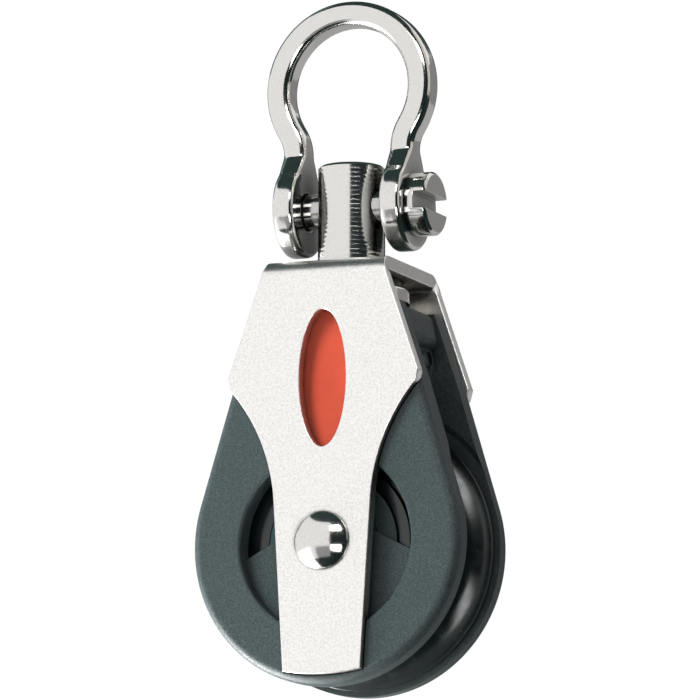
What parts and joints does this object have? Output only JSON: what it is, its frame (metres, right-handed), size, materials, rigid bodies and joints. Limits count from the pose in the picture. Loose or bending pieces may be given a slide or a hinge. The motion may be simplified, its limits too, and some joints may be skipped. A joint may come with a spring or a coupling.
{
  "type": "single sheave block",
  "caption": "Rope block with one grooved sheave on ball bearings between moulded cheeks, a bent steel load strap and a swivel post with a screw-pin bow shackle.",
  "frame": {"origin": "centre of the sheave, on the axle, midway between the cheeks", "axes": "+Z from the sheave towards the shackle, +Y along the axle towards the back, +X across the block towards the shackle pin's head"},
  "size_m": [0.0316, 0.0193, 0.0773],
  "materials": {
    "strap_steel": "satin sheet stainless steel, very fine grain",
    "bow_steel": "polished forged stainless steel",
    "pin_steel": "polished turned stainless steel",
    "post_steel": "turned stainless steel with fine tool marks",
    "rivet_steel": "polished stainless steel",
    "cheek_plastic": "glass-filled nylon, dark slate grey with a fine spark texture",
    "insert_plastic": "smooth orange-red moulded plastic",
    "sheave_plastic": "polished black acetal",
    "washer_plastic": "plain black acetal",
    "bearing_steel": "polished bearing steel",
    "race_plastic": "dark acetal"
  },
  "bodies": {
    "shackle": {"shackle_bow": "bow_steel"},
    "pin": {"shackle_pin": "pin_steel"},
    "post": {"swivel_post": "post_steel", "swivel_collar": "post_steel", "lower_swivel_washer": "washer_plastic", "upper_swivel_washer": "washer_plastic"},
    "block": {"load_strap": "strap_steel", "front_cheek": "cheek_plastic", "rear_cheek": "cheek_plastic", "front_insert": "insert_plastic", "rear_insert": "insert_plastic", "axle_rivet": "rivet_steel", "axle_sleeve": "bearing_steel", "inner_race": "race_plastic", "front_retainer": "race_plastic", "rear_retainer": "race_plastic", "cheek_dowels": "bearing_steel"},
    "sheave": {"sheave": "sheave_plastic"},
    "front_balls": {"front_balls": "bearing_steel"},
    "rear_balls": {"rear_balls": "bearing_steel"}
  },
  "joints": [
    {"name": "pin_withdraw", "type": "slide", "parent": "shackle", "child": "pin", "axis": [1, 0, 0], "range_m": [0, 0.016]},
    {"name": "shackle_swing", "type": "hinge", "parent": "shackle", "child": "post", "pos_m": [0, 0, 0.0381], "axis": [1, 0, 0], "range_deg": [-110, 110]},
    {"name": "block_swivel", "type": "hinge", "parent": "post", "child": "block", "pos_m": [0, 0, 0.03], "axis": [0, 0, 1], "continuous": true},
    {"name": "sheave_spin", "type": "hinge", "parent": "block", "child": "sheave", "pos_m": [0, 0, 0], "axis": [0, 1, 0], "continuous": true},
    {"name": "front_ball_orbit", "type": "hinge", "parent": "block", "child": "front_balls", "pos_m": [0, 0, 0], "axis": [0, 1, 0], "continuous": true},
    {"name": "rear_ball_orbit", "type": "hinge", "parent": "block", "child": "rear_balls", "pos_m": [0, 0, 0], "axis": [0, 1, 0], "continuous": true}
  ],
  "couplings": [
    {"joint": "front_ball_orbit", "follows": "sheave_spin", "ratio": 0.61538},
    {"joint": "rear_ball_orbit", "follows": "sheave_spin", "ratio": 0.61538}
  ]
}
